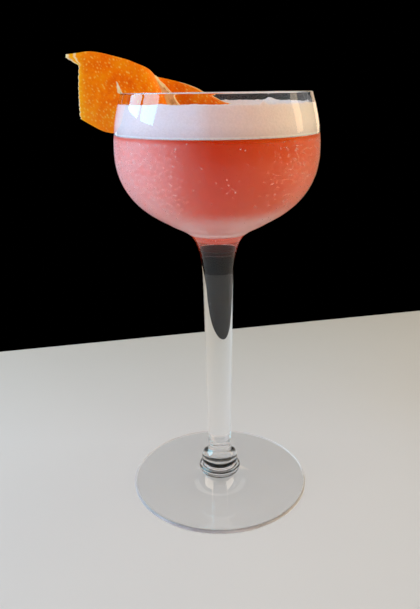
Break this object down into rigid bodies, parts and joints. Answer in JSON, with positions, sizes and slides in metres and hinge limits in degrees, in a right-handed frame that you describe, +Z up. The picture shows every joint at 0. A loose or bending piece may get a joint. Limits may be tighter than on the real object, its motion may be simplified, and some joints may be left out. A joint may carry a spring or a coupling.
{
  "type": "negroni sour",
  "caption": "Cloudy pink-orange sour cocktail under egg-white foam in a small stemmed glass, with a strip of orange peel slit onto the rim.",
  "frame": {"origin": "middle of the foot's flat underside", "axes": "+Z up the stem; -X towards the peel on the rim; the shown side faces -Y"},
  "size_m": [0.0861, 0.0722, 0.1693],
  "materials": {
    "clear_glass": "clear, fire-polished",
    "drink": "cloudy pink-orange liquid",
    "egg_foam": "fine wet egg-white foam",
    "orange_peel": "dimpled waxy zest over pale pith"
  },
  "bodies": {
    "root": {"glass": "clear_glass", "drink": "drink", "foam": "egg_foam", "orange_peel": "orange_peel"}
  },
  "joints": []
}
